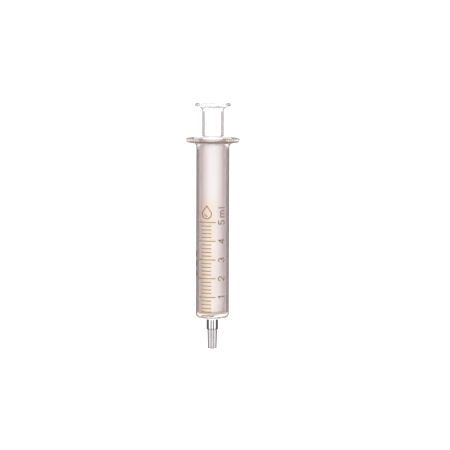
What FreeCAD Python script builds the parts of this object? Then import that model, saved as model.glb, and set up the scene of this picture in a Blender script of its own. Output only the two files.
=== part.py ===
import FreeCAD, Part
import Sketcher
import math
import os

# Glass syringe of 5 ml with a ground glass plunger and a 6 % luer nozzle.
# Frame: origin at the centre of the nozzle's end face, +Z up the axis to the thumb disc,
# and the scale faces -Y. All lengths are in millimetres and all angles in degrees.
#
# An angle around the barrel is counted from the front (-Y), positive towards +X.

SIZES = [
    ("bore_diameter", 12.35, "bore of the barrel"),
    ("barrel_diameter", 14.8, "outside of the barrel"),
    ("barrel_length", 76.4, "barrel from its closed end to the start of the flared end"),
    ("barrel_end_round", 1.7, "round on the outer edge of the closed end"),
    ("floor_thickness", 1.45, "glass of the closed end"),
    ("floor_round", 1.0, "round between the bore and the floor"),
    ("flange_diameter", 24.2, "finger flange"),
    ("flange_thickness", 2.85, "finger flange"),
    ("flange_flare", 1.8, "radius of the sweep from the barrel to the flange"),
    ("mouth_flare", 1.1, "radius of the sweep from the bore to the flange's top"),
    ("hub_diameter", 5.2, "clear stem between the barrel and the cone"),
    ("hub_length", 5.3, "clear stem between the barrel and the cone"),
    ("hub_flare", 0.6, "radius of the sweep from the stem to the barrel"),
    ("hub_end_round", 0.2, "round on the stem's step to the cone"),
    ("cone_length", 8.6, "ground luer cone"),
    ("cone_tip_diameter", 3.93, "luer cone at its tip"),
    ("cone_tip_round", 0.2, "round on the edge of the tip"),
    ("taper_ratio", 0.06, "luer taper, diameter over length"),
    ("channel_diameter", 1.1, "channel through the cone, the stem and the floor"),
    ("running_gap", 0.03, "radial gap between the ground plunger and the bore"),
    ("seat_gap", 0.02, "gap under the plunger when it is pushed home"),
    ("plunger_wall", 1.2, "glass of the hollow plunger and its neck"),
    ("plunger_end_round", 2.0, "round on the plunger's closed end"),
    ("plunger_drop", 1.35, "ground length's top edge below the flange's top"),
    ("shoulder_height", 1.6, "drawn shoulder from the ground length to the neck"),
    ("shoulder_round", 1.8, "radius of the drawn shoulder"),
    ("neck_diameter", 9.8, "clear neck of the plunger"),
    ("neck_length", 11.1, "clear neck of the plunger"),
    ("disc_diameter", 16.1, "thumb disc"),
    ("disc_thickness", 1.8, "thumb disc"),
    ("disc_flare", 1.9, "radius of the sweep from the neck to the disc"),
    ("enamel_thickness", 0.05, "fired enamel on the barrel"),
    ("line_width", 0.38, "scale lines"),
    ("long_line_start", -56.0, "angle where a whole millilitre's line starts"),
    ("long_line_end", 11.0, "angle where a whole millilitre's line ends"),
    ("short_line_start", -42.0, "angle where a line between two millilitres starts"),
    ("short_line_end", -4.0, "angle where a line between two millilitres ends"),
    ("glyph_stroke", 0.42, "stroke of the numerals"),
    ("numeral_height", 3.4, "numerals"),
    ("numeral_angle", 32.5, "angle of the numerals' middle"),
    ("letter_height", 2.5, "small letter of the unit"),
    ("unit_gap", 1.2, "between the 5 and the unit"),
    ("letter_gap", 0.9, "between the unit's letters"),
    ("droplet_height", 6.2, "droplet above the scale"),
    ("droplet_width", 4.6, "droplet above the scale"),
    ("droplet_angle", -21.0, "angle of the droplet's middle"),
    ("droplet_gap", 1.4, "between the top line and the droplet"),
    ("dash_length", 2.4, "plain dashes on the barrel's side"),
    ("dash_width", 1.5, "plain dashes on the barrel's side"),
    ("dash_pitch", 4.3, "plain dashes on the barrel's side"),
    ("dash_angle", -80.0, "angle of the dashes' middle"),
    ("dash_volume", 2.25, "scale reading beside the lowest dash, in millilitres"),
]

CUBIC_MM_PER_ML = 1000
WHOLE_ML = 5
LINES_PER_ML = 5
DASHES = 3

# Heights up the axis, written as expressions over the sheet.
BARREL_END = "(Sizes.cone_length + Sizes.hub_length)"
BARREL_FLOOR = f"({BARREL_END} + Sizes.floor_thickness)"
FLARE_BASE = f"({BARREL_END} + Sizes.barrel_length)"
FLANGE_BASE = f"({FLARE_BASE} + Sizes.flange_flare)"
FLANGE_TOP = f"({FLANGE_BASE} + Sizes.flange_thickness)"
PLUNGER_END = f"({BARREL_FLOOR} + Sizes.seat_gap)"
GROUND_TOP = f"({FLANGE_TOP} - Sizes.plunger_drop)"
NECK_BASE = f"({GROUND_TOP} + Sizes.shoulder_height)"
NECK_TOP = f"({NECK_BASE} + Sizes.neck_length)"
DISC_BASE = f"({NECK_TOP} + Sizes.disc_flare)"
DISC_TOP = f"({DISC_BASE} + Sizes.disc_thickness)"

# Radii, written the same way.
BORE = "Sizes.bore_diameter / 2"
BARREL = "Sizes.barrel_diameter / 2"
FLANGE = "Sizes.flange_diameter / 2"
HUB = "Sizes.hub_diameter / 2"
CHANNEL = "Sizes.channel_diameter / 2"
CONE_TIP = "Sizes.cone_tip_diameter / 2"
CONE_ROOT = f"({CONE_TIP} + Sizes.taper_ratio * Sizes.cone_length / 2)"
PLUNGER = f"({BORE} - Sizes.running_gap)"
NECK = "Sizes.neck_diameter / 2"
NECK_INSIDE = f"({NECK} - Sizes.plunger_wall)"
PLUNGER_INSIDE = f"({PLUNGER} - Sizes.plunger_wall)"
DISC = "Sizes.disc_diameter / 2"
ML_LENGTH = f"({CUBIC_MM_PER_ML} / (pi * Sizes.bore_diameter ^ 2 / 4))"

doc = FreeCAD.newDocument("GlassSyringe")
sheet = doc.addObject("Spreadsheet::Sheet", "Sizes")
for row, (alias, value, meaning) in enumerate(SIZES, start=1):
    sheet.set(f"A{row}", meaning)
    sheet.set(f"B{row}", str(value))
    sheet.setAlias(f"B{row}", alias)
doc.recompute()


def size(expression):
    """The value of an expression over the sheet."""
    return float(sheet.evalExpression(expression.replace("Sizes.", "")))


# --- Revolved glass -----------------------------------------------------------------


def arc_geometry(start, end, radius, bulge):
    """An arc from start to end; bulge +1 turns anticlockwise and -1 clockwise."""
    chord = end - start
    middle = (start + end) / 2
    across = FreeCAD.Vector(-chord.y, chord.x, 0).normalize()
    reach = math.sqrt(max(radius**2 - chord.Length**2 / 4, 0))
    centre = middle + across * reach * bulge
    angles = [math.atan2(point.y - centre.y, point.x - centre.x) for point in (start, end)]
    if bulge < 0:
        angles.reverse()
    return Part.ArcOfCircle(Part.Circle(centre, FreeCAD.Vector(0, 0, 1), radius), *angles)


def pin_to(sketch, axis_name, geometry, end, expression):
    """Hold one coordinate of a point at an expression's value, or on the axis if it is 0."""
    if expression == "0":
        axis = -2 if axis_name == "DistanceX" else -1
        sketch.addConstraint(Sketcher.Constraint("PointOnObject", geometry, end, axis))
        return
    value = size(expression)
    index = sketch.addConstraint(Sketcher.Constraint(axis_name, -1, 1, geometry, end, value))
    sketch.setExpression(f"Constraints[{index}]", expression)


def outline_sketch(body, corners):
    """A closed sketch in the body's XZ plane.

    Each corner is (radius, height), reached by a straight line from the corner before,
    or (radius, height, arc radius, bulge), reached by an arc.
    """
    sketch = body.newObject("Sketcher::SketchObject", body.Name + "Outline")
    plane = next(f for f in body.Origin.OriginFeatures if f.Role == "XZ_Plane")
    sketch.AttachmentSupport = (plane, [""])
    sketch.MapMode = "FlatFace"
    points = [FreeCAD.Vector(size(corner[0]), size(corner[1]), 0) for corner in corners]
    ends = []
    for number, corner in enumerate(corners):
        start, end = points[number - 1], points[number]
        if len(corner) == 2:
            sketch.addGeometry(Part.LineSegment(start, end))
            ends.append((1, 2))
        else:
            arc_radius, bulge = corner[2:]
            sketch.addGeometry(arc_geometry(start, end, size(arc_radius), bulge))
            ends.append((1, 2) if bulge > 0 else (2, 1))
    for number, corner in enumerate(corners):
        before = number - 1 if number else len(corners) - 1
        joint = Sketcher.Constraint("Coincident", before, ends[before][1], number, ends[number][0])
        sketch.addConstraint(joint)
    for number, corner in enumerate(corners):
        pin_to(sketch, "DistanceX", number, ends[number][1], corner[0])
        pin_to(sketch, "DistanceY", number, ends[number][1], corner[1])
        if len(corner) > 2:
            radius = Sketcher.Constraint("Radius", number, size(corner[2]))
            index = sketch.addConstraint(radius)
            sketch.setExpression(f"Constraints[{index}]", corner[2])
    return sketch


def revolved_body(label, corners, turn="360"):
    """A body of revolution about the Z axis, centred on +X when it is less than a full turn."""
    body = doc.addObject("PartDesign::Body", label)
    body.Label = label
    sketch = outline_sketch(body, corners)
    revolution = body.newObject("PartDesign::Revolution", label + "_turned")
    revolution.Profile = sketch
    revolution.ReferenceAxis = (sketch, ["V_Axis"])
    revolution.Midplane = True
    revolution.setExpression("Angle", turn)
    sketch.Visibility = False
    return body


def barrel_tube():
    end_round = "Sizes.barrel_end_round"
    floor_round = "Sizes.floor_round"
    return revolved_body("barrel_tube", [
        (CHANNEL, BARREL_END),
        (f"{BARREL} - {end_round}", BARREL_END),
        (BARREL, f"{BARREL_END} + {end_round}", end_round, 1),
        (BARREL, FLARE_BASE),
        (BORE, FLARE_BASE),
        (BORE, f"{BARREL_FLOOR} + {floor_round}"),
        (f"{BORE} - {floor_round}", BARREL_FLOOR, floor_round, -1),
        (CHANNEL, BARREL_FLOOR),
    ])


def finger_flange():
    flare = "Sizes.flange_flare"
    rim = "Sizes.flange_thickness / 2"
    mouth = "Sizes.mouth_flare"
    return revolved_body("finger_flange", [
        (BORE, FLARE_BASE),
        (BARREL, FLARE_BASE),
        (f"{BARREL} + {flare}", FLANGE_BASE, flare, -1),
        (f"{FLANGE} - {rim}", FLANGE_BASE),
        (FLANGE, f"{FLANGE_BASE} + {rim}", rim, 1),
        (f"{FLANGE} - {rim}", FLANGE_TOP, rim, 1),
        (f"{BORE} + {mouth}", FLANGE_TOP),
        (BORE, f"{FLANGE_TOP} - {mouth}", mouth, 1),
    ])


def nozzle_stem():
    flare = "Sizes.hub_flare"
    end_round = "Sizes.hub_end_round"
    return revolved_body("nozzle_stem", [
        (CHANNEL, "Sizes.cone_length"),
        (f"{HUB} - {end_round}", "Sizes.cone_length"),
        (HUB, f"Sizes.cone_length + {end_round}", end_round, 1),
        (HUB, f"{BARREL_END} - {flare}"),
        (f"{HUB} + {flare}", BARREL_END, flare, -1),
        (CHANNEL, BARREL_END),
    ])


def luer_cone():
    tip_round = "Sizes.cone_tip_round"
    return revolved_body("luer_cone", [
        (CHANNEL, "0"),
        (f"{CONE_TIP} - {tip_round}", "0"),
        (CONE_TIP, tip_round, tip_round, 1),
        (CONE_ROOT, "Sizes.cone_length"),
        (CHANNEL, "Sizes.cone_length"),
    ])


def plunger_body():
    end_round = "Sizes.plunger_end_round"
    wall = "Sizes.plunger_wall"
    inside_round = f"({end_round} - {wall})"
    return revolved_body("plunger_body", [
        ("0", PLUNGER_END),
        (f"{PLUNGER} - {end_round}", PLUNGER_END),
        (PLUNGER, f"{PLUNGER_END} + {end_round}", end_round, 1),
        (PLUNGER, GROUND_TOP),
        (NECK, NECK_BASE, "Sizes.shoulder_round", 1),
        (NECK_INSIDE, NECK_BASE),
        (NECK_INSIDE, GROUND_TOP),
        (PLUNGER_INSIDE, f"{GROUND_TOP} - {wall}"),
        (PLUNGER_INSIDE, f"{PLUNGER_END} + {end_round}"),
        (f"{PLUNGER} - {end_round}", f"{PLUNGER_END} + {wall}", inside_round, -1),
        ("0", f"{PLUNGER_END} + {wall}"),
    ])


def plunger_neck():
    return revolved_body("plunger_neck", [
        (NECK_INSIDE, NECK_BASE),
        (NECK, NECK_BASE),
        (NECK, NECK_TOP),
        (NECK_INSIDE, NECK_TOP),
    ])


def thumb_disc():
    flare = "Sizes.disc_flare"
    rim = "Sizes.disc_thickness / 2"
    return revolved_body("thumb_disc", [
        (NECK_INSIDE, NECK_TOP),
        (NECK, NECK_TOP),
        (f"{NECK} + {flare}", DISC_BASE, flare, -1),
        (f"{DISC} - {rim}", DISC_BASE),
        (DISC, f"{DISC_BASE} + {rim}", rim, 1),
        (f"{DISC} - {rim}", DISC_TOP, rim, 1),
        ("0", DISC_TOP),
        ("0", DISC_BASE),
        (NECK_INSIDE, DISC_BASE),
    ])


# --- Scale lines and dashes ---------------------------------------------------------


def enamel_stripe(label, height, width, start, end):
    """A stripe of enamel on the barrel from one angle to the other, at a height."""
    outside = f"{BARREL} + Sizes.enamel_thickness"
    body = revolved_body(label, [
        (BARREL, f"-{width} / 2"),
        (outside, f"-{width} / 2"),
        (outside, f"{width} / 2"),
        (BARREL, f"{width} / 2"),
    ], turn=f"{end} - {start}")
    body.Placement = FreeCAD.Placement(
        FreeCAD.Vector(0, 0, size(height)), FreeCAD.Rotation(FreeCAD.Vector(0, 0, -1), 90)
    )
    body.setExpression("Placement.Base.z", height)
    body.setExpression("Placement.Rotation.Angle", f"90 - ({start} + {end}) / 2")
    return body


def scale_line(tenths):
    """The line at a volume given in tenths of a millilitre."""
    whole = tenths % 10 == 0 and tenths > 0
    kind = "long" if whole else "short"
    return enamel_stripe(
        f"scale_line_{tenths // 10}_{tenths % 10}_ml",
        f"{BARREL_FLOOR} + {tenths / 10} * {ML_LENGTH}",
        "Sizes.line_width",
        f"Sizes.{kind}_line_start",
        f"Sizes.{kind}_line_end",
    )


def side_dash(number):
    half_turn = f"(Sizes.dash_width / {BARREL} * 90 / pi)"
    return enamel_stripe(
        f"side_dash_{number + 1}",
        f"{BARREL_FLOOR} + Sizes.dash_volume * {ML_LENGTH} + {number} * Sizes.dash_pitch",
        "Sizes.dash_length",
        f"(Sizes.dash_angle - {half_turn})",
        f"(Sizes.dash_angle + {half_turn})",
    )


# --- Numerals, unit and droplet -----------------------------------------------------


def polyline(*points):
    """Straight segments, each a pair of points."""
    return list(zip(points, points[1:]))


def arc(centre, radius, first, last):
    """A round segment, anticlockwise from the first angle to the last."""
    return (centre, radius, first, last)


# Strokes of each glyph, one unit tall, with x to the right and y up.
GLYPHS = {
    "1": [polyline((0.1, 0.76), (0.34, 1.0), (0.34, 0.0))],
    "2": [
        [arc((0.29, 0.71), 0.29, -45, 165)],
        polyline((0.495, 0.505), (0.0, 0.0), (0.62, 0.0)),
    ],
    "3": [
        [arc((0.3, 0.765), 0.235, -90, 155)],
        [arc((0.3, 0.265), 0.265, -155, 90)],
    ],
    "4": [
        polyline((0.46, 0.0), (0.46, 1.0)),
        polyline((0.46, 1.0), (0.0, 0.3), (0.64, 0.3)),
    ],
    "5": [
        polyline((0.56, 1.0), (0.12, 1.0), (0.09, 0.547)),
        [arc((0.29, 0.31), 0.31, -140, 130)],
    ],
    "m": [
        polyline((0.0, 0.0), (0.0, 1.0)),
        polyline((0.66, 0.0), (0.66, 0.67)) + [arc((0.33, 0.67), 0.33, 0, 180)],
        polyline((1.32, 0.0), (1.32, 0.67)) + [arc((0.99, 0.67), 0.33, 0, 180)],
    ],
    "l": [polyline((0.0, 0.0), (0.0, 1.0))],
}


def edge(segment, scale):
    """One segment of a stroke as an edge, at a scale in millimetres."""
    if len(segment) == 2:
        start, end = (FreeCAD.Vector(*point) * scale for point in segment)
        return Part.LineSegment(start, end).toShape()
    centre, radius, first, last = segment
    circle = Part.Circle(
        FreeCAD.Vector(*centre) * scale, FreeCAD.Vector(0, 0, 1), radius * scale
    )
    return Part.ArcOfCircle(circle, math.radians(first), math.radians(last)).toShape()


def straight_stroke(start, end, width):
    """The face of one straight stroke with round ends."""
    along = (end - start).normalize() * (width / 2)
    aside = FreeCAD.Vector(-along.y, along.x, 0)
    sides = [
        Part.LineSegment(start - aside, end - aside),
        Part.Arc(end - aside, end + along, end + aside),
        Part.LineSegment(end + aside, start + aside),
        Part.Arc(start + aside, start - along, start - aside),
    ]
    return Part.Face(Part.Wire([side.toShape() for side in sides]))


def stroke_face(segments, scale, width):
    """The face of a stroke that follows its segments."""
    edges = [edge(segment, scale) for segment in segments]
    if len(edges) == 1 and len(segments[0]) == 2:
        return straight_stroke(*(vertex.Point for vertex in edges[0].Vertexes), width)
    path = Part.Wire(Part.__sortEdges__(edges))
    outside = Part.Face(path.makeOffset2D(width / 2))
    if path.isClosed():
        return outside.cut(Part.Face(path.makeOffset2D(-width / 2)))
    return outside


def fired_mark(label, strokes, scale, angle):
    """Strokes fired on the barrel, reading up the axis with their tops to the left.

    The mark is centred on the angle and on the height of the origin.
    """
    stroke = size("Sizes.glyph_stroke")
    barrel = size(BARREL)
    enamel = barrel + size("Sizes.enamel_thickness")
    up = FreeCAD.Vector(0, 0, 1)
    faces = [stroke_face(segments, scale, stroke) for segments in strokes]
    prisms = [face.extrude(up * enamel) for face in faces]
    prism = prisms[0].multiFuse(prisms[1:]).removeSplitter() if len(prisms) > 1 else prisms[0]
    middle = prism.BoundBox.Center
    prism.translate(FreeCAD.Vector(-middle.x, -middle.y, 0))
    length = prism.BoundBox.XLength
    # The reading direction goes to +Z, the tops to -X and the outside to -Y.
    facing = FreeCAD.Rotation(up, FreeCAD.Vector(-1, 0, 0), FreeCAD.Vector(0, -1, 0), "ZXY")
    prism = prism.transformed(FreeCAD.Placement(FreeCAD.Vector(), facing).toMatrix())
    skin = Part.makeCylinder(enamel, 2 * length, -up * length)
    skin = skin.cut(Part.makeCylinder(barrel, 2 * length, -up * length))
    feature = doc.addObject("Part::Feature", label)
    feature.Label = label
    feature.Shape = skin.common(prism)
    feature.Placement = FreeCAD.Placement(FreeCAD.Vector(), FreeCAD.Rotation(up, angle))
    return feature


def raise_to(feature, middle_z=None, low_z=None):
    """Move a mark up the axis until its middle or its lowest point is at a height."""
    box = feature.Shape.BoundBox
    lift = middle_z - box.Center.z if low_z is None else low_z - box.ZMin
    feature.Placement.Base.z += lift
    return feature


def numerals_and_unit():
    """The numerals 1 to 5 beside their lines, then the unit above the last."""
    tall = size("Sizes.numeral_height - Sizes.glyph_stroke")
    angle = size("Sizes.numeral_angle")
    marks = []
    for millilitres in range(1, WHOLE_ML + 1):
        mark = fired_mark(f"numeral_{millilitres}", GLYPHS[str(millilitres)], tall, angle)
        height = size(f"{BARREL_FLOOR} + {millilitres} * {ML_LENGTH}")
        marks.append(raise_to(mark, middle_z=height))

    drop = size("Sizes.numeral_height - Sizes.letter_height") / 2
    letter_angle = angle + math.degrees(drop / size(BARREL))
    small = size("Sizes.letter_height - Sizes.glyph_stroke")
    letter_m = fired_mark("unit_letter_m", GLYPHS["m"], small, letter_angle)
    above = marks[-1].Shape.BoundBox.ZMax
    marks.append(raise_to(letter_m, low_z=above + size("Sizes.unit_gap")))

    letter_l = fired_mark("unit_letter_l", GLYPHS["l"], tall, angle)
    above = letter_m.Shape.BoundBox.ZMax
    marks.append(raise_to(letter_l, low_z=above + size("Sizes.letter_gap")))
    return marks


def droplet():
    """A plain droplet outline, point up, with a short curved glint inside it."""
    stroke = size("Sizes.glyph_stroke")
    radius = (size("Sizes.droplet_width") - stroke) / 2
    apex = size("Sizes.droplet_height") - stroke
    spread = math.degrees(math.acos(radius / (apex - radius)))
    side = FreeCAD.Rotation(FreeCAD.Vector(0, 0, 1), spread).multVec(FreeCAD.Vector(radius, 0, 0))
    left = (radius + side.x, side.y)
    right = (radius + side.x, -side.y)
    rim = [arc((radius, 0), radius, spread, 360 - spread)] + polyline(right, (apex, 0), left)
    glint = [arc((radius, 0), radius * 0.45, 100, 200)]
    mark = fired_mark("droplet", [rim, glint], 1, size("Sizes.droplet_angle"))
    top_line = size(f"{BARREL_FLOOR} + {WHOLE_ML} * {ML_LENGTH}")
    return raise_to(mark, low_z=top_line + size("Sizes.droplet_gap"))


# --- Assembly -----------------------------------------------------------------------

pieces = [
    barrel_tube(),
    finger_flange(),
    nozzle_stem(),
    luer_cone(),
    plunger_body(),
    plunger_neck(),
    thumb_disc(),
]
tenths_step = 10 // LINES_PER_ML
pieces += [scale_line(tenths) for tenths in range(0, 10 * WHOLE_ML + 1, tenths_step)]
pieces += [side_dash(number) for number in range(DASHES)]
pieces += numerals_and_unit()
pieces.append(droplet())
doc.recompute()

for item in doc.Objects:
    if "Invalid" in item.State or "Error" in item.State:
        raise RuntimeError(f"{item.Label} failed: {item.State}")
for piece in pieces:
    if piece.Shape.isNull() or not piece.Shape.isValid():
        raise RuntimeError(f"{piece.Label} has no valid shape")

os.makedirs("parts", exist_ok=True)
for piece in pieces:
    piece.Shape.exportStep(f"parts/{piece.Label}.step")
    box = piece.Shape.BoundBox
    print(f"{piece.Label}: {piece.Shape.Volume:.2f} mm3, z {box.ZMin:.2f} to {box.ZMax:.2f}")
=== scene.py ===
import math

import bmesh
import bpy
from mathutils import Matrix, Vector, noise


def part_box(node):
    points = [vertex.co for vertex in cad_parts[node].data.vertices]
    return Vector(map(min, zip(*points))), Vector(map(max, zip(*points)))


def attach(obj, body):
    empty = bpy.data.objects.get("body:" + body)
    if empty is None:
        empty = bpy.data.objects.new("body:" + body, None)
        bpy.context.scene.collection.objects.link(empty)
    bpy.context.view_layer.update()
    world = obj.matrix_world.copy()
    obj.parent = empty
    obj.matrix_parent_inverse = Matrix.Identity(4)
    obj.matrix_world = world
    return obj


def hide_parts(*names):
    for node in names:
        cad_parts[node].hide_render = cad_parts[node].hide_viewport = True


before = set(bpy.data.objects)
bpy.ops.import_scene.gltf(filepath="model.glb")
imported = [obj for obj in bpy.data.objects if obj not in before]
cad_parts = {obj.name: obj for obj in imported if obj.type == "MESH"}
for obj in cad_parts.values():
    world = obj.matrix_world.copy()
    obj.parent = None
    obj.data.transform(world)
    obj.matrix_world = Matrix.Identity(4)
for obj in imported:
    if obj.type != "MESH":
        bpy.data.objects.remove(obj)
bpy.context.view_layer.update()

# An all-glass syringe, nozzle down, scale towards -Y. Lengths are in metres and angles in
# radians, unless a name ends in _MM or _DEG. Angles round the barrel count from -Y, positive
# towards +X. The barrel and the plunger are each one closed glass mesh, turned on a lathe,
# whose zones have materials of their own. Each enamel mark is a piece of its own.

MM = 0.001

# Sizes that the frame's boxes don't give, as the CAD model has them.
BORE = 6.175 * MM
CHANNEL = 0.55 * MM
CONE_TIP = 1.965 * MM
STEM_FLARE = 0.6 * MM
END_ROUND = 1.7 * MM
FLOOR_THICKNESS = 1.45 * MM
FLOOR_ROUND = 1.0 * MM
FLANGE_THICKNESS = 2.85 * MM
FLANGE_FLARE = 1.8 * MM
MOUTH_FLARE = 1.1 * MM
PLUNGER_WALL = 1.2 * MM
SHOULDER_HEIGHT = 1.6 * MM
DISC_THICKNESS = 1.8 * MM
DISC_FLARE = 1.9 * MM
GLYPH_STROKE = 0.42 * MM

RIM_ROUNDING = 0.49     # the round on each edge of a rim, as a part of its thickness
RIM_LAP = 0.05 * MM     # how far a rim's finish runs in over its flat face

TURN_STEPS = 144        # facets round the axis
ROUND_STEP_DEG = 8      # the most that one facet turns round a corner
ON_AXIS = 1e-7          # a point nearer to the axis than this is on it
HOLD_RING = 0.06 * MM   # rings that keep long straight walls straight under smooth shading


def low(node):
    """The height of a node's underside."""
    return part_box(node)[0].z


def high(node):
    """The height of a node's top."""
    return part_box(node)[1].z


def reach(node):
    """A node's largest radius."""
    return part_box(node)[1].x


BARREL = reach("barrel_tube")


def new_object(name, work, finishes):
    """The mesh that is in work as an object, with one material slot for each finish."""
    mesh = bpy.data.meshes.new(name)
    work.to_mesh(mesh)
    work.free()
    for finish in finishes:
        mesh.materials.append(finish)
    piece = bpy.data.objects.new(name, mesh)
    bpy.context.scene.collection.objects.link(piece)
    return piece


def smooth_solid(name, work, finishes):
    """The same for a closed mesh, with smooth shading and its faces turned outwards."""
    for face in work.faces:
        face.smooth = True
    bmesh.ops.recalc_face_normals(work, faces=work.faces)
    return new_object(name, work, finishes)


# --- Lathe work ---------------------------------------------------------------------


def rounded(corners):
    """The points of a closed outline, with each corner rounded by its own radius.

    A corner is (radius, height, round, zone). The zone names the finish of the corner
    and of the straight wall after it.
    """
    points = []
    for number, (radius, height, fillet, zone) in enumerate(corners):
        here = Vector((radius, height))
        before = Vector(corners[number - 1][:2]) - here
        after = Vector(corners[(number + 1) % len(corners)][:2]) - here
        if not fillet:
            points.append((here, zone))
            continue
        before.normalize()
        after.normalize()
        half = before.angle(after) / 2
        centre = here + (before + after).normalized() * (fillet / math.sin(half))
        start = here + before * (fillet / math.tan(half)) - centre
        turn = start.angle_signed(here + after * (fillet / math.tan(half)) - centre)
        steps = max(3, math.ceil(math.degrees(abs(turn)) / ROUND_STEP_DEG))
        for step in range(steps + 1):
            spin = Matrix.Rotation(-turn * step / steps, 2)
            points.append((centre + spin @ start, zone))
    return points


def with_hold_rings(points):
    """The same outline with a ring near each end of every long straight wall."""
    held = []
    for number, (here, zone) in enumerate(points):
        held.append((here, zone))
        after = points[(number + 1) % len(points)][0]
        run = after - here
        if run.length > 4 * HOLD_RING:
            held.append((here + run.normalized() * HOLD_RING, zone))
            held.append((after - run.normalized() * HOLD_RING, zone))
    return held


def ring_at(work, point):
    """The vertices that a point leaves as it turns about Z; on the axis they are all one."""
    if point.x < ON_AXIS:
        return [work.verts.new((0, 0, point.y))] * TURN_STEPS
    ring = []
    for step in range(TURN_STEPS):
        angle = math.tau * step / TURN_STEPS
        at = (point.x * math.cos(angle), point.x * math.sin(angle), point.y)
        ring.append(work.verts.new(at))
    return ring


def lathe(name, outlines):
    """A closed solid of revolution about Z, with one material slot for each zone."""
    zones = list(dict.fromkeys(corner[3] for corners in outlines for corner in corners))
    work = bmesh.new()
    for corners in outlines:
        points = with_hold_rings(rounded(corners))
        rings = [ring_at(work, point) for point, _zone in points]
        for number, ring in enumerate(rings):
            after = rings[(number + 1) % len(rings)]
            if ring[0] is ring[1] and after[0] is after[1]:
                continue    # both ends are on the axis, so there is no wall between them
            for step in range(TURN_STEPS):
                turned = (step + 1) % TURN_STEPS
                loop = [ring[step], ring[turned], after[turned], after[step]]
                distinct = list(dict.fromkeys(loop))    # three where one end is on the axis
                face = work.faces.new(distinct)
                face.material_index = zones.index(points[number][1])
    return smooth_solid(name, work, [FINISHES[zone] for zone in zones])


# --- Materials ----------------------------------------------------------------------

GLASS_IOR = 1.47
WHITE = (1.0, 1.0, 1.0)
BLACK = (0.0, 0.0, 0.0)


def srgb(red, green, blue):
    """A colour given as the eye sees it, 0 to 255, as linear light."""
    def linear(value):
        value /= 255
        return value / 12.92 if value <= 0.04045 else ((value + 0.055) / 1.055) ** 2.4
    return tuple(linear(value) for value in (red, green, blue))


def grey(value):
    return srgb(value, value, value)


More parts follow.
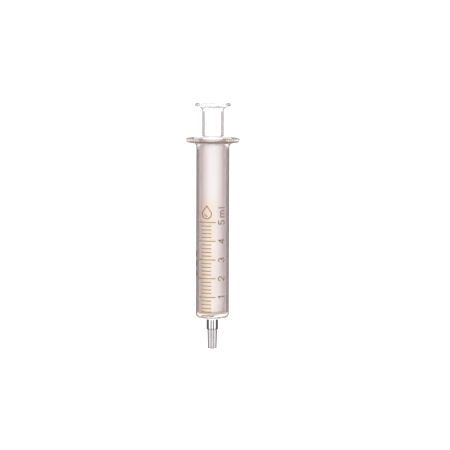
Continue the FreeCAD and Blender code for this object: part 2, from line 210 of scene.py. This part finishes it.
class Nodes:
    """A material's node tree with short ways to add and link nodes."""

    def __init__(self, name):
        self.material = bpy.data.materials.new(name)
        self.material.use_nodes = True
        self.tree = self.material.node_tree
        self.tree.nodes.clear()
        self.output = self.tree.nodes.new("ShaderNodeOutputMaterial")

    def add(self, kind, **settings):
        """A node; a setting that names an input fills it with a value or a link."""
        node = self.tree.nodes.new("ShaderNode" + kind)
        for key, value in settings.items():
            socket = node.inputs.get(key.replace("_", " "))
            if socket is None:
                setattr(node, key, value)
            else:
                self.fill(socket, value)
        return node

    def fill(self, socket, value):
        """Give an input a value, or a link if the value is another node's output."""
        if isinstance(value, bpy.types.NodeSocket):
            self.tree.links.new(value, socket)
        else:
            socket.default_value = value

    def merge(self, node, first, second, start=0):
        """The node's first output, once the two inputs from number start on are filled."""
        self.fill(node.inputs[start], first)
        self.fill(node.inputs[start + 1], second)
        return node.outputs[0]

    def product(self, first, second):
        """Two numbers multiplied."""
        return self.merge(self.add("Math", operation="MULTIPLY"), first, second)

    def blend(self, share, first, second, blend_type="MIX"):
        """The first colour with a share of the second mixed in, or multiplied in."""
        mix = self.add("MixRGB", blend_type=blend_type, Fac=share)
        return self.merge(mix, first, second, start=1)

    def over(self, shader, cover, share):
        """The shader with a share of another over it."""
        return self.merge(self.add("MixShader", Fac=share), shader, cover, start=1)

    def place(self):
        """Where on the object a point is, in the object's own coordinates."""
        return self.add("TexCoord").outputs["Object"]

    def ramp(self, factor, stops):
        """The factor's colour between straight stops, each (position, (red, green, blue))."""
        node = self.add("ValToRGB", Fac=factor)
        elements = node.color_ramp.elements
        while len(elements) < len(stops):
            elements.new(0.5)
        for element, (position, colour) in zip(elements, stops):
            element.position = position
            element.color = (*colour, 1)
        return node.outputs["Color"]

    def noise(self, scale, detail=2.0, stretch=(1, 1, 1)):
        """Noise over the object, scale in cells per metre."""
        stretched = self.add("Mapping", Vector=self.place(), Scale=stretch).outputs["Vector"]
        texture = self.add("TexNoise", Vector=stretched, Scale=scale, Detail=detail)
        return texture.outputs["Fac"]

    def bump(self, height, depth):
        """A normal that follows a height between 0 and 1, depth metres deep."""
        return self.add("Bump", Height=height, Distance=depth).outputs["Normal"]

    def facing(self, upright=False):
        """0 where the surface is seen square on, 1 where it is seen edge on.

        An upright facing reads the piece as a plain cylinder round Z, so a rounded rim
        isn't darker along its top and bottom.
        """
        weight = self.add("LayerWeight", Blend=0.5)
        if upright:
            flatten = self.add("VectorMath", operation="MULTIPLY")
            level = self.merge(flatten, self.place(), (1, 1, 0))
            outwards = self.add("VectorMath", operation="NORMALIZE", Vector=level)
            self.fill(weight.inputs["Normal"], outwards.outputs["Vector"])
        return weight.outputs["Facing"]

    def window(self, value, edges):
        """1 between the middle two of four rising edges, 0 outside the outer two."""
        rise = self.add("MapRange", Value=value, From_Min=edges[0], From_Max=edges[1])
        fall = self.add("MapRange", Value=value, From_Min=edges[3], From_Max=edges[2])
        return self.product(rise.outputs["Result"], fall.outputs["Result"])

    def painted_halo_mask(self):
        """How strong the painted warm halo round the scale is."""
        at = self.add("SeparateXYZ", Vector=self.place()).outputs
        angle = self.merge(self.add("Math", operation="ARCTAN2"), at["X"],
                           self.product(at["Y"], -1))
        around = self.window(angle, [math.radians(edge) for edge in HALO_ANGLES_DEG])
        along = self.window(at["Z"], HALO_HEIGHTS)
        patchy = self.ramp(self.noise(300), [(0.2, grey(200)), (0.6, WHITE)])
        return self.blend(1.0, self.product(around, along), patchy, "MULTIPLY")

    def entering(self, tint):
        """The tint where light enters the glass, and none where it leaves.

        Refraction takes the square root of a base colour, so the tint goes in squared.
        """
        leaving = self.add("NewGeometry").outputs["Backfacing"]
        squared = self.add("Gamma", Color=tint, Gamma=2.0).outputs["Color"]
        return self.blend(leaving, squared, (*WHITE, 1))

    def glass(self, **settings):
        """A shader that refracts light as glass does."""
        shader = self.add("BsdfPrincipled", IOR=GLASS_IOR, Transmission_Weight=1.0, **settings)
        return shader.outputs["BSDF"]

    def dimmed(self, shader, shade, share):
        """The shader with a share of plain matt colour over it."""
        matt = self.add("BsdfDiffuse", Color=(*shade, 1))
        return self.over(shader, matt.outputs["BSDF"], share)

    def polished(self, shader, share):
        """The shader with a share of plain mirror gloss over it."""
        mirror = self.add("BsdfGlossy", Color=(*WHITE, 1), Roughness=0.02)
        return self.over(shader, mirror.outputs["BSDF"], share)

    def finish(self, shader):
        self.tree.links.new(shader, self.output.inputs["Surface"])
        return self.material


def clear_glass(name, tints, upright=False, halo_tints=None, clear_above=None, outline=None,
                gloss=None, ripple=0.004 * MM):
    """Drawn glass: clear face on, with painted shade darker where it is seen edge on, and faint
    draw lines.

    Further tints, if given, take over in the painted warm halo round the scale and above the
    heights CLEAR_FROM. A gloss, (start, full), mirrors the studio in an edge, on an upright
    piece only away from its two sides. An outline, (colour, start, full), paints a shade line
    of matt colour over an edge's gloss.
    """
    n = Nodes(name)
    draw_lines = n.noise(420, stretch=(1, 1, 0.08))
    # The tints paint shade, darker where the glass is seen edge on.
    tint = n.ramp(n.facing(upright), tints)
    if clear_above:
        height = n.add("SeparateXYZ", Vector=n.place()).outputs["Z"]
        upper = n.add("MapRange", Value=height, From_Min=CLEAR_FROM[0], From_Max=CLEAR_FROM[1])
        clear = n.ramp(n.facing(upright), clear_above)
        tint = n.blend(upper.outputs["Result"], tint, clear)
    # Inside the painted warm halo round the scale, its own tints take over.
    if halo_tints:
        tint = n.blend(n.painted_halo_mask(), tint, n.ramp(n.facing(upright), halo_tints))
    shader = n.glass(Base_Color=n.entering(tint), Roughness=0.0, Normal=n.bump(draw_lines, ripple))
    if gloss:
        start, full = gloss
        share = n.ramp(n.facing(), [(start, BLACK), (full, WHITE)])
        if upright:
            middle = n.ramp(n.facing(upright), [(0.3, WHITE), (0.45, BLACK)])
            share = n.blend(1.0, share, middle, "MULTIPLY")
        shader = n.polished(shader, share)
    # The outline is a painted shade line: matt dark colour over the edge.
    if outline:
        shade, start, full = outline
        shader = n.dimmed(shader, shade, n.ramp(n.facing(), [(start, BLACK), (full, WHITE)]))
    return n.finish(shader)


def ground_glass(name, tints, roughness):
    """Lapped glass: a fine matt skin that blurs what is behind it, with painted shade darker
    towards its edges.
    """
    n = Nodes(name)
    cloud = n.ramp(n.noise(160, 3, (1, 1, 0.3)), [(0.3, grey(250)), (0.7, WHITE)])
    rings = n.ramp(n.noise(1100, 2, (0.01, 0.01, 1)), [(0.38, grey(247)), (0.6, WHITE)])
    grit = n.bump(n.noise(9000), 0.006 * MM)
    # The tints paint shade towards the edges; the cloud and the rings are the glass's own uneven
    # tone.
    clouded = n.blend(0.5, n.ramp(n.facing(), tints), cloud, "MULTIPLY")
    ringed = n.blend(1.0, clouded, rings, "MULTIPLY")
    return n.finish(n.glass(Base_Color=n.entering(ringed), Roughness=roughness, Normal=grit))


def rim_glass(name):
    """The flange's fire-polished rim, with warm bands of painted light and shade by how far its
    surface tilts up, and a painted highlight along its top front.
    """
    n = Nodes(name)
    up = n.add("SeparateXYZ", Vector=n.add("NewGeometry").outputs["Normal"]).outputs["Z"]
    tilt = n.add("MapRange", Value=up, From_Min=-1.0, From_Max=1.0).outputs["Result"]
    # Painted light and shade: bands by tilt, darker towards the two sides.
    sides = n.ramp(n.facing(upright=True), RIM_SIDE_SHADE_TINTS)
    light_and_shade_bands = n.blend(1.0, n.ramp(tilt, RIM_LIGHT_AND_SHADE_BANDS), sides, "MULTIPLY")
    waves = n.bump(n.noise(420), 0.06 * MM)
    shader = n.glass(Base_Color=n.entering(light_and_shade_bands), Roughness=0.0, Normal=waves)
    # A painted highlight: mirror gloss along the rim's upper curve, only at its front.
    upper = n.ramp(tilt, [(0.66, BLACK), (0.78, WHITE)])
    front = n.ramp(n.facing(upright=True), [(0.04, WHITE), (0.1, BLACK)])
    return n.finish(n.polished(shader, n.blend(1.0, upper, front, "MULTIPLY")))


def channel_glass(name, shade):
    """The liquid channel's wall, clear in front, with painted shade at its sides as dark as the
    shade, 0 to 255.
    """
    n = Nodes(name)
    sides = n.ramp(n.facing(), [(0.14, BLACK), (0.26, WHITE)])
    return n.finish(n.dimmed(n.glass(Roughness=0.0), grey(shade), sides))


def enamel(name, thick, thin, gloss=0.5):
    """Fired amber enamel, grainy, and blotched between where it is thick and where it is thin."""
    n = Nodes(name)
    colour = n.ramp(n.noise(2600, 3), [(0.3, thick), (0.7, thin)])
    grain = n.bump(n.noise(12000, 1), 0.004 * MM)
    shader = n.add("BsdfPrincipled", Base_Color=colour, Roughness=0.35, Normal=grain,
                   Specular_IOR_Level=gloss)
    return n.finish(shader.outputs["BSDF"])


# Painted shade: how dark each part's glass is painted, from square on (0) to edge on (1).
WALL_EDGE_SHADE_TINTS = [
    (0.44, srgb(184, 165, 165)), (0.54, srgb(136, 114, 114)),
    (0.7, srgb(104, 81, 82)), (0.82, srgb(60, 46, 47)), (1.0, srgb(10, 8, 8)),
]
WALL = srgb(252, 249, 250)
WALL_TINTS = [(0.0, WALL), (0.37, WALL)] + WALL_EDGE_SHADE_TINTS
PAINTED_HALO = srgb(255, 243, 229)     # a painted warm halo round the scale, for the amber's reflection and shadow on the plunger behind
# The painted warm halo square on, with the painted edge shade towards the sides.
PAINTED_HALO_TINTS = [(0.0, PAINTED_HALO), (0.37, PAINTED_HALO)] + WALL_EDGE_SHADE_TINTS
FLARE_TINTS = [
    (0.0, WHITE), (0.6, WHITE), (0.72, srgb(190, 176, 172)), (0.85, srgb(90, 78, 74)),
    (1.0, srgb(60, 50, 46)),
]
NECK_TINTS = [
    (0.0, WHITE), (0.27, WHITE), (0.35, srgb(166, 158, 157)), (0.6, srgb(170, 161, 161)),
    (0.78, srgb(104, 96, 96)), (1.0, srgb(96, 88, 88)),
]
STEM_TINTS = [(0.0, WHITE), (0.15, WHITE), (0.22, grey(30)), (0.8, BLACK), (1.0, BLACK)]
END_TINTS = [
    (0.0, srgb(254, 246, 238)), (0.4, srgb(252, 243, 235)), (0.66, srgb(232, 220, 212)),
    (0.78, srgb(130, 112, 104)), (0.9, srgb(60, 48, 44)), (1.0, srgb(30, 24, 22)),
]
# The flange's rim: painted bands of light and shade from its underside (0) through its middle to
# its top (1), and how much painted shade darkens those from its front (0) round to its two sides
# (1).
RIM_LIGHT_AND_SHADE_BANDS = [
    (0.0, srgb(206, 190, 182)), (0.08, srgb(160, 136, 126)), (0.2, srgb(136, 110, 99)),
    (0.3, srgb(170, 148, 139)), (0.4, srgb(224, 208, 202)), (0.5, WHITE),
    (0.6, srgb(250, 240, 236)), (0.68, srgb(204, 190, 185)), (0.78, WHITE), (0.9, WHITE),
    (1.0, srgb(206, 194, 190)),
]
RIM_SIDE_SHADE_TINTS = [
    (0.0, WHITE), (0.06, srgb(246, 242, 241)), (0.2, srgb(228, 221, 219)),
    (0.36, srgb(230, 223, 221)), (0.6, srgb(248, 246, 245)), (0.8, WHITE), (1.0, grey(180)),
]
# Painted shade on the other parts as well, from square on (0) to edge on (1).
DISC_TINTS = [(0.0, WHITE), (0.2, WHITE), (0.33, grey(206)), (0.7, grey(160)), (1.0, grey(180))]
FACE_TINTS = [(0.0, WHITE), (0.6, WHITE), (1.0, grey(252))]
UNDER_TINTS = [
    (0.0, WHITE), (0.5, WHITE), (0.7, srgb(170, 166, 170)), (1.0, srgb(130, 126, 130)),
]
SHOULDER_TINTS = [(0.0, WHITE), (0.7, WHITE), (1.0, srgb(228, 216, 212))]
PLAIN_TINTS = [(0.0, WHITE), (1.0, srgb(252, 250, 249))]
BORE_TINTS = [(0.0, WHITE), (0.6, srgb(252, 250, 249)), (1.0, srgb(240, 234, 233))]
PISTON_TINTS = [
    (0.0, srgb(255, 253, 252)), (0.084, srgb(253, 245, 243)), (0.123, srgb(250, 239, 236)),
    (0.166, srgb(248, 235, 232)), (0.218, srgb(245, 230, 227)), (0.286, srgb(240, 223, 219)),
    (0.3675, srgb(230, 211, 208)), (0.47, srgb(213, 191, 189)), (0.615, srgb(194, 170, 169)),
    (1.0, srgb(174, 148, 149)),
]
PISTON_END_TINTS = [
    (0.0, srgb(254, 248, 245)), (0.5, srgb(244, 234, 226)), (1.0, srgb(230, 214, 204)),
]
CONE_TINTS = [
    (0.0, srgb(230, 224, 226)), (0.12, srgb(220, 212, 214)), (0.28, srgb(196, 188, 190)),
    (0.38, grey(108)), (0.48, grey(36)), (1.0, BLACK),
]
CLEAR_FROM = (0.0894, 0.0911)   # the heights between which the flaring wall turns clear
# Where the painted warm halo round the scale starts, is full, starts to fade and has ended.
HALO_ANGLES_DEG = (-60, -52, 2, 20)
HALO_HEIGHTS = (0.0142, 0.0165, 0.0655, 0.0695)

# Each finish's tints paint shade towards its edges; each outline paints a dark shade line along an
# edge.
FINISHES = {
    "wall": clear_glass("barrel_wall_glass", WALL_TINTS, halo_tints=PAINTED_HALO_TINTS,
                        clear_above=FLARE_TINTS, outline=(srgb(96, 80, 82), 0.62, 0.9)),
    "end": clear_glass("barrel_end_glass", END_TINTS, outline=(srgb(112, 92, 84), 0.6, 0.8)),
    "stem": clear_glass("stem_glass", STEM_TINTS, outline=(grey(40), 0.5, 0.8)),
    "rim": rim_glass("flange_rim_glass"),
    "disc": clear_glass("disc_rim_glass", DISC_TINTS, upright=True, gloss=(0.36, 0.62)),
    "face": clear_glass("face_glass", FACE_TINTS, gloss=(0.68, 0.9)),
    "shoulder": clear_glass("shoulder_glass", SHOULDER_TINTS, gloss=(0.2, 0.45)),
    "under": clear_glass("disc_underside_glass", UNDER_TINTS, outline=(grey(150), 0.6, 0.9)),
    "neck": clear_glass("neck_glass", NECK_TINTS, upright=True, ripple=0.01 * MM),
    "inside": clear_glass("inside_glass", PLAIN_TINTS),
    "channel": channel_glass("channel_glass", 30),
    "cone_channel": channel_glass("cone_channel_glass", 190),
    "bore": ground_glass("ground_bore", BORE_TINTS, 0.35),
    "piston": ground_glass("ground_piston", PISTON_TINTS, 0.55),
    "piston_end": ground_glass("ground_piston_end", PISTON_END_TINTS, 0.55),
    "cone": ground_glass("ground_cone", CONE_TINTS, 0.2),
}
DROPLET_AMBER = enamel("droplet_amber", srgb(140, 88, 26), srgb(170, 112, 38))
DASH_AMBER = enamel("dash_amber", srgb(64, 46, 22), srgb(84, 62, 30), gloss=0.0)
LINE_AMBER = enamel("line_amber", srgb(130, 98, 42), srgb(164, 128, 62))
GLYPH_AMBER = enamel("glyph_amber", srgb(104, 72, 30), srgb(132, 96, 44))


# --- The barrel and the plunger -----------------------------------------------------


# A corner without a round on a straight wall is only where the next zone starts.


def make_barrel():
    end = low("barrel_tube")
    floor = end + FLOOR_THICKNESS
    flange = reach("finger_flange")
    flange_top = high("finger_flange")
    flange_base = flange_top - FLANGE_THICKNESS
    stem = reach("nozzle_stem") - STEM_FLARE
    cone_root = reach("luer_cone")
    cone_top = high("luer_cone")
    rim = FLANGE_THICKNESS * RIM_ROUNDING
    outline = [
        (CHANNEL, 0, 0.12 * MM, "cone"),
        (CONE_TIP, 0, 0.25 * MM, "cone"),
        (cone_root, cone_top, 0.08 * MM, "stem"),
        (stem, cone_top, 0.22 * MM, "stem"),
        (stem, end - 0.75 * MM, 0, "shoulder"),
        (stem, end, 0.7 * MM, "shoulder"),
        (stem + 1.2 * MM, end, 0, "end"),
        (BARREL, end, END_ROUND, "end"),
        (BARREL, floor + 1.3 * MM, 0, "wall"),
        (BARREL, flange_base, FLANGE_FLARE, "wall"),
        (flange - 1.6 * MM, flange_base, 0, "rim"),
        (flange, flange_base, rim, "rim"),
        (flange, flange_top, rim, "rim"),
        (flange - rim - RIM_LAP, flange_top, 0, "face"),
        (BORE, flange_top, MOUTH_FLARE, "bore"),
        (BORE, floor, FLOOR_ROUND, "bore"),
        (CHANNEL, floor, 0.3 * MM, "inside"),
        (CHANNEL, end - 1.2 * MM, 0, "channel"),
        (CHANNEL, cone_top, 0, "cone_channel"),
    ]
    piece = lathe("barrel_glass", [outline])
    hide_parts("barrel_tube", "finger_flange", "nozzle_stem", "luer_cone")
    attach(piece, "barrel")


def make_plunger():
    piston = reach("plunger_body")
    foot = low("plunger_body")
    neck = reach("plunger_neck")
    neck_base = low("plunger_neck")
    ground_top = neck_base - SHOULDER_HEIGHT
    disc = reach("thumb_disc")
    disc_top = high("thumb_disc")
    disc_base = disc_top - DISC_THICKNESS
    rim = DISC_THICKNESS * RIM_ROUNDING
    outside = [
        (0, foot, 0, "piston_end"),
        (piston, foot, 1.4 * MM, "piston_end"),
        (piston, foot + 1.6 * MM, 0, "piston"),
        (piston, ground_top, 0, "shoulder"),
        (piston, neck_base - 0.3 * MM, 1.1 * MM, "shoulder"),
        (neck, neck_base, 0.3 * MM, "neck"),
        (neck, disc_base, DISC_FLARE, "under"),
        (disc, disc_base, rim, "disc"),
        (disc, disc_top, rim, "disc"),
        (disc - rim - RIM_LAP, disc_top, 0, "face"),
        (0, disc_top, 0, "face"),
    ]
    hollow_neck = neck - PLUNGER_WALL
    hollow_piston = piston - PLUNGER_WALL
    inside = [
        (0, foot + PLUNGER_WALL, 0, "inside"),
        (hollow_piston, foot + PLUNGER_WALL, 1.8 * MM, "inside"),
        (hollow_piston, ground_top - 0.2 * MM, 1.0 * MM, "inside"),
        (hollow_neck, ground_top + 0.4 * MM, 0.6 * MM, "inside"),
        (hollow_neck, disc_base, 0.6 * MM, "inside"),
        (0, disc_base, 0, "inside"),
    ]
    piece = lathe("plunger_glass", [outside, inside])
    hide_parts("plunger_body", "plunger_neck", "thumb_disc")
    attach(piece, "plunger")


make_barrel()
make_plunger()


# --- Enamel -------------------------------------------------------------------------

# Strokes of each glyph, one unit tall, with x to the right and y up. A stroke is a
# straight run (start, end) or a round one (centre, radius, first angle, last angle).
GLYPHS = {
    "numeral_1": [((0.1, 0.76), (0.34, 1.0)), ((0.34, 1.0), (0.34, 0.0))],
    "numeral_2": [
        ((0.29, 0.71), 0.29, -45, 165),
        ((0.495, 0.505), (0.0, 0.0)), ((0.0, 0.0), (0.62, 0.0)),
    ],
    "numeral_3": [((0.3, 0.765), 0.235, -90, 155), ((0.3, 0.265), 0.265, -155, 90)],
    "numeral_4": [
        ((0.46, 0.0), (0.46, 1.0)), ((0.46, 1.0), (0.0, 0.3)), ((0.0, 0.3), (0.64, 0.3)),
    ],
    "numeral_5": [
        ((0.56, 1.0), (0.12, 1.0)), ((0.12, 1.0), (0.09, 0.547)),
        ((0.29, 0.31), 0.31, -140, 130),
    ],
    "unit_letter_m": [
        ((0.0, 0.0), (0.0, 1.0)),
        ((0.33, 0.67), 0.33, 0, 180), ((0.66, 0.67), (0.66, 0.0)),
        ((0.99, 0.67), 0.33, 0, 180), ((1.32, 0.67), (1.32, 0.0)),
    ],
    "unit_letter_l": [((0.0, 0.0), (0.0, 1.0))],
}
ENAMEL_HEIGHT = 0.05 * MM
ENAMEL_ROOT = 0.01 * MM     # how far the enamel bites into the glass
ENAMEL_STEP = 0.25 * MM     # the distance between points along a stroke
UNEVENNESS = 0.06           # how much a stroke's width wanders, as a part of it
UNEVENNESS_SCALE = 2500     # wanderings per metre
DASH_BUILD = 3.6            # the dashes are fired this many times as thick as the scale
TIP_STEPS = 5
TIP_REACH = 0.985           # a tip's last row, as a part of the way to its very end

# Across a stroke, from one side to the other: place and height as parts of the whole.
CROWN = [
    (-1.0, 0.0), (-0.9, 0.62), (-0.55, 0.95), (0.0, 1.0), (0.55, 0.95), (0.9, 0.62), (1.0, 0.0),
]


def span(node):
    """A mark's lowest and highest angle, then its lowest and highest height."""
    points = [vertex.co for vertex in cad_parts[node].data.vertices]
    angles = [math.atan2(point.x, -point.y) for point in points]
    return min(angles), max(angles), low(node), high(node)


def sampled(stroke, scale):
    """Points along a stroke, about ENAMEL_STEP apart, in metres."""
    if len(stroke) == 2:
        start, end = (Vector(point) * scale for point in stroke)
        steps = max(2, round((end - start).length / ENAMEL_STEP))
        return [start.lerp(end, step / steps) for step in range(steps + 1)]
    centre, radius, first, last = stroke
    turn = math.radians(last - first)
    steps = max(8, round(radius * scale * abs(turn) / ENAMEL_STEP))
    angles = [math.radians(first) + turn * step / steps for step in range(steps + 1)]
    return [
        (Vector(centre) + Vector((math.cos(a), math.sin(a))) * radius) * scale for a in angles
    ]


def with_round_tips(path, half_width):
    """(point, direction, part of the full width) along a path, with its ends rounded off."""
    starts = (path[1] - path[0]).normalized()
    ends = (path[-1] - path[-2]).normalized()
    out = []
    for step in range(TIP_STEPS, 0, -1):
        beyond = TIP_REACH * step / TIP_STEPS
        out.append((path[0] - starts * half_width * beyond, starts, math.sqrt(1 - beyond**2)))
    for number, point in enumerate(path):
        before = path[max(number - 1, 0)]
        after = path[min(number + 1, len(path) - 1)]
        out.append((point, (after - before).normalized(), 1.0))
    for step in range(1, TIP_STEPS + 1):
        beyond = TIP_REACH * step / TIP_STEPS
        out.append((path[-1] + ends * half_width * beyond, ends, math.sqrt(1 - beyond**2)))
    return out


def lay_stroke(work, path, width, onto_barrel):
    """One crowned stroke of enamel, closed all round."""
    rows = []
    for point, along, part in with_round_tips(path, width / 2):
        aside = Vector((-along.y, along.x)) * (width / 2) * part
        row = []
        for place, height in CROWN:
            at = point + aside * place
            wobble = 1 + UNEVENNESS * noise.noise(Vector((at.x, at.y, 0)) * UNEVENNESS_SCALE)
            at = point + aside * place * wobble
            row.append(work.verts.new(onto_barrel(at, ENAMEL_HEIGHT * height * part**0.5)))
        row.append(work.verts.new(onto_barrel(point + aside, -ENAMEL_ROOT)))
        row.append(work.verts.new(onto_barrel(point - aside, -ENAMEL_ROOT)))
        rows.append(row)
    for row, after in zip(rows, rows[1:]):
        for number in range(len(row)):
            beside = (number + 1) % len(row)
            work.faces.new([row[number], row[beside], after[beside], after[number]])
    work.faces.new(rows[0][::-1])
    work.faces.new(rows[-1])


def enamel_piece(node, finish, paths, width, onto_barrel):
    """Strokes along these paths, in place of a CAD mark."""
    work = bmesh.new()
    for path in paths:
        lay_stroke(work, path, width, onto_barrel)
    piece = smooth_solid(node + "_enamel", work, [finish])
    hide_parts(node)
    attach(piece, "barrel")


def wrap(angle, height, proud):
    """A point on the barrel at an angle, a height and a distance proud of the glass."""
    radius = BARREL + proud
    return (radius * math.sin(angle), -radius * math.cos(angle), height)


def make_stripe(node, finish, build=1.0):
    """A scale line or a dash, as long and as wide as its CAD node."""
    first, last, bottom, top = span(node)
    across, tall = (last - first) * BARREL, top - bottom
    width = min(across, tall)
    middle = Vector(((first + last) / 2 * BARREL, (bottom + top) / 2))
    half_run = Vector((across - width, tall - width)) / 2
    ends = (middle - half_run, middle + half_run)
    enamel_piece(node, finish, [sampled(ends, 1)], width,
                 lambda at, proud: wrap(at.x / BARREL, at.y, proud * build))


def make_glyph(node):
    """A numeral or a letter that reads up the barrel, with its top to the left."""
    first, last, bottom, _ = span(node)
    tall = (last - first) * BARREL - GLYPH_STROKE
    paths = [sampled(stroke, tall) for stroke in GLYPHS[node]]
    left = min(point.x for path in paths for point in path)
    start = bottom + GLYPH_STROKE / 2 - left
    foot = last * BARREL - GLYPH_STROKE / 2
    enamel_piece(node, GLYPH_AMBER, paths, GLYPH_STROKE,
                 lambda at, proud: wrap((foot - at.y) / BARREL, start + at.x, proud))


def make_droplet():
    """A plain droplet outline, point up, with a short curved glint inside it."""
    first, last, bottom, top = span("droplet")
    radius = ((last - first) * BARREL - GLYPH_STROKE) / 2
    apex = top - bottom - GLYPH_STROKE
    spread = math.acos(radius / (apex - radius))
    spread_deg = math.degrees(spread)
    centre = Vector((0, radius))
    touch = centre + Vector((math.sin(spread), math.cos(spread))) * radius
    strokes = [
        (centre, radius, 90 + spread_deg, 450 - spread_deg),
        (touch, (0, apex)),
        ((0, apex), (-touch.x, touch.y)),
        (centre, radius * 0.45, 190, 290),
    ]
    middle = (first + last) / 2
    base = bottom + GLYPH_STROKE / 2
    paths = [sampled(stroke, 1) for stroke in strokes]
    enamel_piece("droplet", DROPLET_AMBER, paths, GLYPH_STROKE,
                 lambda at, proud: wrap(middle + at.x / BARREL, base + at.y, proud))


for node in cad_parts:
    if node.startswith("scale_line"):
        make_stripe(node, LINE_AMBER)
    if node.startswith("side_dash"):
        make_stripe(node, DASH_AMBER, build=DASH_BUILD)
for node in GLYPHS:
    make_glyph(node)
make_droplet()


# --- Floor, light and camera --------------------------------------------------------

STUDIO_GAIN = 1.33      # makes up for the light that ground glass loses between its grains
FLOOR_RADIUS = 12.0
FLOOR_HEIGHT = -0.03
FLOOR_GLOW = 0.8        # the share of the floor's brightness that is its own light


def make_stage():
    n = Nodes("pale_floor")
    lit = n.add("BsdfDiffuse", Color=(0.96, 0.975, 0.985, 1))
    bright = n.add("Emission", Color=(*WHITE, 1), Strength=STUDIO_GAIN)
    pale = n.finish(n.over(lit.outputs["BSDF"], bright.outputs["Emission"], FLOOR_GLOW))
    work = bmesh.new()
    bmesh.ops.create_circle(work, cap_ends=True, segments=96, radius=FLOOR_RADIUS)
    floor = new_object("floor", work, [pale])
    floor.location.z = FLOOR_HEIGHT


def make_light():
    world = bpy.data.worlds.new("studio")
    bpy.context.scene.world = world
    world.use_nodes = True
    background = world.node_tree.nodes["Background"]
    background.inputs["Color"].default_value = (*WHITE, 1)
    background.inputs["Strength"].default_value = STUDIO_GAIN


CAMERA_PLACE = Vector((0, -0.9, 0.1266))
CAMERA_AIM = Vector((0.00553, 0, 0.05545))
CAMERA_ROLL_DEG = 0.22
LENS_MM = 161.6
SENSOR_MM = 36


def make_camera():
    data = bpy.data.cameras.new("camera")
    data.lens = LENS_MM
    data.sensor_width = SENSOR_MM
    data.clip_start = 0.01
    data.clip_end = 100
    camera = bpy.data.objects.new("camera", data)
    camera.location = CAMERA_PLACE
    camera.rotation_mode = "QUATERNION"
    aim = (CAMERA_AIM - CAMERA_PLACE).to_track_quat("-Z", "Y")
    roll = Matrix.Rotation(math.radians(CAMERA_ROLL_DEG), 3, "Z").to_quaternion()
    camera.rotation_quaternion = aim @ roll
    bpy.context.scene.collection.objects.link(camera)
    bpy.context.scene.camera = camera


GLASS_CROSSINGS = 48    # how many glass surfaces a ray may pass on its way
GLOSS_BOUNCES = 24

make_stage()
make_light()
make_camera()
bpy.context.scene.view_settings.view_transform = "Standard"
bpy.context.scene.cycles.max_bounces = GLASS_CROSSINGS
bpy.context.scene.cycles.transmission_bounces = GLASS_CROSSINGS
bpy.context.scene.cycles.glossy_bounces = GLOSS_BOUNCES
